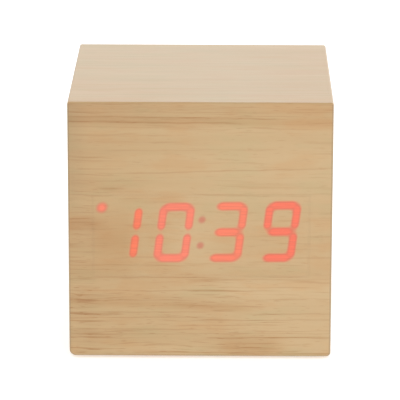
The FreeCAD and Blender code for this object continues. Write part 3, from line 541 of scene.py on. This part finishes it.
class Film:
    """Builds the film's material, one layer of its look after another."""

    def __init__(self):
        self.made, self.graph, self.shader = material("wood_film")
        graph = self.graph
        self.point, self.x, self.y, self.z = graph.place()
        self.nx, self.ny, self.nz = graph.normal()
        self.side = graph.step(graph.absolute(self.nx), *SIDE_TURN)
        self.front = graph.step(graph.mul(self.ny, -1.0), *FRONT_TURN)
        self.top = graph.step(self.nz, *TOP_TURN)
        self.make_grain()
        self.make_lining()
        self.make_lines()
        self.make_window()
        base = self.tinted(self.wood_colour())
        self.finish(self.with_edge_shade(base))

    def make_grain(self):
        """The noises of the wood. They hardly change along the grain, which runs along X on the front, top
        and back, and along Y on the sides."""
        graph = self.graph
        wander = graph.noise(graph.stretched(self.point, 0.03, 0.03, 0.03))
        lift = graph.ramp(wander, 0.0, 1.0, -1.2, 1.2)
        sway = graph.vector(0.0, lift, lift)
        swayed = graph.node("VectorMath", {0: self.point, 1: sway}, operation="ADD").outputs[0]
        grain = graph.grain(swayed, self.side, 0.03, 1.0)
        self.broad = graph.noise(grain, 0.16, roughness=0.45)
        self.medium = graph.noise(grain, 0.9, detail=3.0, roughness=0.6)
        self.fine = graph.noise(grain, 4.5, detail=3.0, roughness=0.65)
        self.hair = graph.step(graph.noise(grain, 1.7, roughness=0.6), 0.55, 0.70)
        short_grain = graph.grain(self.point, self.side, 0.3, 3.0)
        self.fleck = graph.step(graph.noise(short_grain, detail=1.0), 0.62, 0.74)

    def make_lining(self):
        """How closely lined and how brown each part of the wood is."""
        graph = self.graph
        upper = graph.step(self.z, *UPPER_BAND_Z)
        lower = graph.step(self.z, *LOWER_PART_Z)
        left = graph.step(self.x, *LEFT_PART_X)
        left_edge = graph.mul(graph.step(self.x, *LEFT_EDGE_X), graph.step(self.z, *LEFT_EDGE_Z))
        calm = graph.step(self.x, *CALM_RIGHT_X, 0.55, 1.0)
        lined = graph.add(graph.mul(upper, 0.5), graph.mul(lower, 0.85), graph.mul(left_edge, 0.8))
        elsewhere = graph.sub(PLAIN_LINING, graph.mul(self.top, 0.45))
        self.lining = graph.add(graph.mul(lined, self.front, calm), elsewhere)
        brown = graph.add(graph.mul(upper, 0.21), graph.mul(left, 0.38), graph.mul(left_edge, 0.10))
        self.brown = graph.mul(brown, self.front)

    def make_lines(self):
        """The growth lines: those drawn one by one, and the hairs and flecks that are everywhere."""
        graph = self.graph
        self.streak = streak_group()
        waves = graph.noise(graph.stretched(self.point, 0.12, 0.0, 0.25), detail=3.0)
        wobble = graph.ramp(waves, 0.2, 0.8, -0.22, 0.22)
        self.height = graph.add(graph.sub(self.z, CASE_BASE / MM), wobble)
        broken = graph.ramp(self.fine, 0.3, 0.7, 0.55, 1.3)
        marks = graph.add(graph.mul(self.hair, 0.22), graph.mul(self.fleck, 0.21))
        self.lines = graph.add(graph.mul(self.drawn(STREAKS), broken), graph.mul(marks, self.lining))

    def drawn(self, table):
        """The lines or patches of a table, on the front only."""
        rows = [self.graph.call(self.streak, (self.x, self.height) + row) for row in table]
        return self.graph.mul(self.graph.add(*rows), self.front)

    def make_window(self):
        """The outline of the display's window, which shows faintly through the film."""
        graph = self.graph
        off_x = graph.absolute(graph.sub(self.x, WINDOW_X))
        off_z = graph.absolute(graph.sub(self.z, WINDOW_Z))
        upright = graph.band(off_x, WINDOW_HALF_X, *WINDOW_LINE)
        level = graph.band(off_z, WINDOW_HALF_Z, *WINDOW_LINE)
        within_x = graph.step(off_x, *(WINDOW_HALF_X + past for past in WINDOW_CORNER))
        within_z = graph.step(off_z, *(WINDOW_HALF_Z + past for past in WINDOW_CORNER))
        window = graph.largest(graph.mul(upright, within_z), graph.mul(level, within_x))
        self.window = graph.mul(window, self.front)

    def wood_colour(self):
        """The wood with its growth lines."""
        graph = self.graph
        # Less brown in the pale patches and in the painted glow round the colon.
        brown = graph.sub(self.brown, self.drawn(PALE_AND_GLOW_PATCHES))
        drift = graph.mul(graph.add(graph.mul(self.medium, 0.35), graph.mul(self.fine, 0.24)), self.lining)
        levelled = graph.mul(graph.sub(PLAIN_LINING, self.lining), 0.29)
        tone = graph.add(brown, graph.mul(self.broad, 0.8), drift, levelled)
        wood = graph.colours(graph.ramp(tone, 0.35, 1.75), WOOD_STOPS)
        return graph.tint(graph.math("MULTIPLY", self.lines, 1.1, clamp=True), wood, LINE_TINT)

    def tinted(self, base):
        """Adds the drift of hue, the warm patches, a painted shade at the left edge and the top's own hue.
        """
        graph = self.graph
        hue = graph.noise(graph.grain(self.point, self.side, 0.06, 0.2), detail=3.0, roughness=0.6)
        base = graph.tint(graph.step(hue, 0.5, 0.66, 0.0, 0.9), base, PINK_TINT)
        base = graph.tint(graph.step(hue, 0.5, 0.34, 0.0, 0.9), base, GREEN_TINT)
        base = graph.tint(self.drawn(WARM_PATCHES), base, WARM_TINT)
        # Painted shade: a tenth of the way to black at the upper left of the front.
        shade = graph.mul(graph.step(self.x, *SHADE_X), graph.step(self.z, *SHADE_Z), self.front)
        base = graph.mix(graph.mul(shade, 0.10), base, BLACK)
        base = graph.tint(self.top, base, TOP_TINT)
        corner = graph.mul(graph.step(self.x, *ROSY_CORNER_X), graph.step(self.y, *ROSY_CORNER_Y))
        rosy = graph.add(corner, graph.step(self.x, *ROSY_RIGHT_X))
        return graph.tint(graph.mul(rosy, self.top, 0.8), base, ROSY_TINT)

    def with_edge_shade(self, base):
        """Paints shade on the rounded edges, where they face sideways or down but not up, and darkens the
        window's outline.
        """
        graph = self.graph
        # Painted shade on the rounded edges, none where they face up.
        turned_x = graph.band(graph.absolute(self.nx), 0.5, 0.36, 0.1)
        turned_y = graph.mul(graph.step(self.ny, 0.06, 0.2), graph.step(self.ny, 0.99, 0.94))
        turned_z = graph.mul(graph.step(self.nz, -0.06, -0.2), graph.step(self.nz, -0.99, -0.94))
        below_top = graph.step(self.nz, 0.1, 0.4, 0.3, 0.0)
        edge = graph.mul(graph.largest(turned_x, turned_y, turned_z), below_top)
        base = graph.mix(edge, base, EDGE_SHADE_COLOUR)
        return graph.mix(graph.mul(self.window, 0.05), base, WINDOW_COLOUR)

    def finish(self, base):
        """Adds the display, as a painted glow in the film's colour and as light, then feeds the shader."""
        graph = self.graph
        tint, bars, colon, signal = display_light(graph, self.x, self.z)
        # Painted glow: the display's light is also painted into the film's colour, red round the lit bars,
        # the signal dot and the colon.
        signal_painted_glow = graph.mul(graph.step(signal, *SIGNAL_GLOW_PAINT), 0.82)
        stain = graph.largest(graph.step(bars, *BAR_GLOW_PAINT), signal_painted_glow)
        colon_mask = graph.mul(graph.step(colon, *COLON_LIGHT), self.front)
        base = graph.mix(graph.mul(stain, self.front, 0.84), base, BAR_PAINTED_GLOW_COLOUR)
        base = graph.mix(graph.mul(colon_mask, 0.7), base, COLON_PAINTED_GLOW_COLOUR)
        graph.feed(self.shader.inputs["Base Color"], base)

        # The grain lets a little more light through in some places, and the growth lines a little less.
        threads = graph.noise(graph.stretched(self.point, 0.10, 1.0, 2.6), detail=3.0, roughness=0.6)
        show = graph.sub(graph.ramp(threads, 0.32, 0.68, 0.82, 1.10), graph.mul(self.lines, 0.3))
        core = graph.largest(graph.step(bars, *BAR_LIGHT), graph.step(signal, *SIGNAL_LIGHT))
        halo = graph.step(graph.math("MINIMUM", bars, signal), *HALO)
        light = graph.add(
            graph.mul(core, BAR_POWER),
            graph.mul(halo, HALO_POWER),
            graph.mul(colon_mask, COLON_POWER),
        )
        lit = graph.mul(light, self.front, show)
        glow = graph.mix(graph.step(signal, *SIGNAL_TINT_REACH), tint, SIGNAL_TINT)
        graph.feed(self.shader.inputs["Emission Color"], graph.tint(1.0, glow, graph.vector(lit, lit, lit)))

        graph.feed(self.shader.inputs["Roughness"], graph.ramp(self.medium, 0.3, 0.7, 0.34, 0.44))
        pores = graph.add(graph.mul(self.fine, 0.5), graph.mul(self.fleck, -0.6))
        relief = graph.add(pores, graph.mul(self.window, -1.2))
        graph.feed(self.shader.inputs["Normal"], graph.bump(relief, 0.03, 0.6))
        set_inputs(self.shader, emission_strength=1.0, coat_weight=0.5, coat_roughness=0.3)


# ---- The other materials ----
def fibreboard_material():
    made, graph, shader = material("fibreboard")
    point = graph.place()[0]
    clump = graph.noise(point, 0.6, detail=4.0, roughness=0.7)
    fibre = graph.noise(point, 4.0, detail=3.0, roughness=0.7)
    tone = graph.add(graph.mul(clump, 0.5), graph.mul(fibre, 0.5))
    stops = [(0.3, srgb(128, 98, 68)), (0.55, srgb(164, 132, 96)), (0.75, srgb(192, 163, 126))]
    graph.feed(shader.inputs["Base Color"], graph.colours(tone, stops))
    graph.feed(shader.inputs["Normal"], graph.bump(tone, 0.15, 0.8))
    set_inputs(shader, roughness=0.92)
    return made


def plastic_material(name, colour, roughness, grain_mm=0.25, relief=0.5, coat=0.0):
    """Moulded plastic with a spark-eroded grain and faint rubbed patches."""
    made, graph, shader = material(name)
    point = graph.place()[0]
    pits = graph.noise(point, 1.0 / grain_mm, roughness=0.6)
    rubbed = graph.noise(point, 0.08, detail=3.0, roughness=0.6)
    pale = adjusted(colour, 1.35, 0.004)
    graph.feed(shader.inputs["Base Color"], graph.mix(graph.step(rubbed, 0.35, 0.75), colour, pale))
    worn = graph.ramp(rubbed, 0.3, 0.7, roughness + 0.06, roughness - 0.06)
    graph.feed(shader.inputs["Roughness"], graph.add(worn, graph.ramp(pits, 0.3, 0.7, -0.03, 0.03)))
    graph.feed(shader.inputs["Normal"], graph.bump(pits, 0.02, relief))
    set_inputs(shader, coat_weight=coat)
    return made


def metal_material(name, colour, roughness, brushed=(1.0, 1.0, 1.0)):
    """Plated or brushed metal, with faint stains and a brushed direction."""
    made, graph, shader = material(name)
    point = graph.place()[0]
    lines = graph.noise(graph.stretched(point, *brushed), 6.0, detail=3.0, roughness=0.7)
    stain = graph.noise(point, 0.7, detail=3.0, roughness=0.6)
    dull = adjusted(colour, 0.72)
    graph.feed(shader.inputs["Base Color"], graph.mix(graph.step(stain, 0.4, 0.8), colour, dull))
    streaked = graph.ramp(lines, 0.25, 0.75, roughness - 0.07, roughness + 0.1)
    graph.feed(shader.inputs["Roughness"], streaked)
    graph.feed(shader.inputs["Normal"], graph.bump(lines, 0.006, 0.4))
    set_inputs(shader, metallic=1.0)
    return made


def rubber_material():
    made, graph, shader = material("foot_rubber")
    point = graph.place()[0]
    dust = graph.noise(point, 0.9, detail=4.0, roughness=0.7)
    stops = [(0.3, srgb(62, 61, 60)), (0.75, srgb(104, 102, 99))]
    graph.feed(shader.inputs["Base Color"], graph.colours(dust, stops))
    graph.feed(shader.inputs["Normal"], graph.bump(graph.noise(point, 5.0), 0.03, 0.5))
    set_inputs(shader, roughness=0.85)
    return made


def board_material():
    """Green solder mask with tracks just visible under it."""
    made, graph, shader = material("circuit_board")
    point = graph.place()[0]
    lanes = {"Vector": graph.stretched(point, 0.5, 0.01, 0.5), "Scale": 1.0}
    gaps = graph.node("TexVoronoi", lanes, feature="DISTANCE_TO_EDGE").outputs[0]
    track = graph.step(gaps, 0.10, 0.13)
    base = graph.mix(track, srgb(34, 112, 62), srgb(14, 78, 40))
    speck = graph.noise(point, 1.2)
    graph.feed(shader.inputs["Base Color"], graph.mix(graph.mul(speck, 0.25), base, srgb(46, 128, 78)))
    graph.feed(shader.inputs["Normal"], graph.bump(track, 0.03, 0.5))
    set_inputs(shader, roughness=0.34)
    return made


SLEEVE_BAND = 12.6  # millimetres from a battery sleeve's end, at the cell's positive pole


def jacket_material():
    """Three printed battery sleeves, dark with a pale band round the positive end. The middle cell lies the
    other way round."""
    made, graph, shader = material("cell_sleeve")
    point, x, y = graph.place()[:3]
    low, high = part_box("cell_jackets")
    cell_half = (high[1] - low[1]) / MM / 6
    outer_cells = graph.step(graph.absolute(y), cell_half - 0.15, cell_half + 0.25, -1.0, 1.0)
    toward_plus = graph.mul(x, outer_cells)
    band_start = high[0] / MM - SLEEVE_BAND
    band = graph.step(toward_plus, band_start, band_start + 0.2)
    stripe = graph.band(toward_plus, band_start - 0.7, 0.25, 0.1)
    scuff = graph.step(graph.noise(point, 0.8, detail=4.0, roughness=0.7), 0.62, 0.8)
    base = graph.mix(band, srgb(38, 52, 92), srgb(196, 150, 62))
    base = graph.mix(stripe, base, srgb(222, 222, 216))
    graph.feed(shader.inputs["Base Color"], graph.mix(graph.mul(scuff, 0.25), base, srgb(170, 170, 170)))
    graph.feed(shader.inputs["Normal"], graph.bump(graph.noise(point, 0.5), 0.05, 0.2))
    set_inputs(shader, roughness=0.28, coat_weight=0.4)
    return made


def lens_material(name, colour, strength):
    """Clouded plastic or a diode's coating, which is alight if strength isn't 0."""
    made, graph, shader = material(name)
    point = graph.place()[0]
    cloud = graph.noise(point, 1.1, detail=3.0)
    tone = graph.mix(cloud, colour, adjusted(colour, 1.1, 0.02))
    graph.feed(shader.inputs["Base Color"], tone)
    if strength:
        graph.feed(shader.inputs["Emission Color"], tone)
        set_inputs(shader, emission_strength=strength)
    graph.feed(shader.inputs["Normal"], graph.bump(cloud, 0.02, 0.3))
    set_inputs(shader, roughness=0.3)
    return made


# The marks engraved in the rear cover: their depth, and their middles' drop below its top edge (mm).
MARK_DEPTH = 0.3
MARK_DROP = 15.6
MARK_HALF = 1.6


def bezel_material(body):
    """The base's black plastic, with white paint in the engraved marks below the buttons."""
    made = body.copy()
    made.name = "bezel_plastic"
    graph = Graph(made.node_tree)
    shader = node_of_type(made, "BSDF_PRINCIPLED")
    plain = shader.inputs["Base Color"].links[0].from_socket
    y, z = graph.place()[2:]
    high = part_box("rear_bezel")[1]
    depth = graph.band(y, high[1] / MM - MARK_DEPTH, 0.04, 0.03)
    level = graph.band(z, high[2] / MM - MARK_DROP, MARK_HALF, 0.1)
    paint = graph.mul(depth, level, graph.step(graph.normal()[1], 0.8, 0.9))
    graph.feed(shader.inputs["Base Color"], graph.mix(paint, plain, srgb(226, 226, 222)))
    return made


def dress_clock():
    dress(["film_wrap"], Film().made)
    dress(
        ["front_board", "rear_board", "left_board", "right_board", "top_board", "corner_blocks"],
        fibreboard_material(),
    )
    black = plastic_material("black_plastic", srgb(34, 34, 36), roughness=0.52)
    dress(["base_plate", "battery_door", "battery_door_latch"], black)
    dress(["rear_bezel"], bezel_material(black))
    satin = {"roughness": 0.3, "grain_mm": 0.4, "relief": 0.2, "coat": 0.2}
    dress(
        ["set_button", "up_button", "down_button"],
        plastic_material("button_plastic", srgb(30, 30, 32), **satin),
    )
    dress(
        ["dc_jack_body", "coin_cell_holder", "switch_bodies"],
        plastic_material("moulded_black", srgb(26, 26, 27), roughness=0.42, grain_mm=0.3, relief=0.3),
    )
    dress(
        ["display_driver_chip", "microcontroller", "temperature_sensor"],
        plastic_material("chip_compound", srgb(38, 38, 40), roughness=0.6, grain_mm=0.15),
    )
    dress(
        ["buzzer"],
        plastic_material("buzzer_shell", srgb(28, 28, 30), roughness=0.48, grain_mm=0.35, relief=0.3),
    )
    dress(
        ["display_housing"],
        plastic_material("display_housing", srgb(56, 57, 60), roughness=0.5, grain_mm=0.3, relief=0.3),
    )
    dress(
        ["display_spacers", "display_substrate", "main_plug", "display_plug"],
        plastic_material("white_nylon", srgb(222, 219, 208), roughness=0.45, grain_mm=0.4, relief=0.3),
    )
    dress(
        ["set_switch_stem", "up_switch_stem", "down_switch_stem"],
        plastic_material("switch_stem", srgb(208, 200, 184), roughness=0.35, grain_mm=0.4, relief=0.2),
    )
    dress(["rubber_feet"], rubber_material())
    dress(["main_board", "display_board"], board_material())
    dress(["cell_jackets"], jacket_material())
    dress(["segment_lenses_lit"], lens_material("lens_alight", srgb(255, 92, 66), strength=2.0))
    dress(["segment_lenses_dark"], lens_material("lens_dark", srgb(214, 208, 196), strength=0.0))
    dress(["display_led_dies"], lens_material("led_die", srgb(214, 190, 96), strength=0.0))
    dress(
        ["base_screws", "display_screws", "board_screws", "bezel_screws"],
        metal_material("zinc", srgb(196, 196, 192), roughness=0.3, brushed=(1.0, 1.0, 0.1)),
    )
    dress(
        ["contact_springs", "contact_plates", "coin_cell_clip", "dc_jack_pin", "dc_jack_contact"],
        metal_material("nickel", srgb(212, 206, 192), roughness=0.26, brushed=(0.2, 1.0, 1.0)),
    )
    dress(
        ["cell_terminals", "coin_cell", "clock_crystal", "switch_covers"],
        metal_material("steel", srgb(202, 203, 205), roughness=0.28, brushed=(1.0, 0.3, 1.0)),
    )
    dress(
        ["display_pins", "switch_legs", "microcontroller_legs", "sensor_leads"],
        metal_material("tin", srgb(206, 206, 202), roughness=0.4),
    )
    dress(
        ["reservoir_capacitor", "microphone"],
        metal_material("aluminium", srgb(206, 208, 210), roughness=0.34),
    )
    dress(
        ["display_resistors", "main_board_chips"],
        plastic_material("ceramic_chips", srgb(96, 78, 64), roughness=0.5, grain_mm=0.2, relief=0.3),
    )
    dress(
        ["ribbon_cable"],
        plastic_material("ribbon_grey", srgb(150, 152, 156), roughness=0.5, grain_mm=0.3, relief=0.2),
    )
    dress(
        ["battery_lead_red"],
        plastic_material("red_lead", srgb(176, 34, 26), roughness=0.38, grain_mm=0.3, relief=0.2),
    )
    dress(
        ["battery_lead_black"],
        plastic_material("black_lead", srgb(30, 30, 31), roughness=0.38, grain_mm=0.3, relief=0.2),
    )


make_camera()
make_studio()
dress_clock()
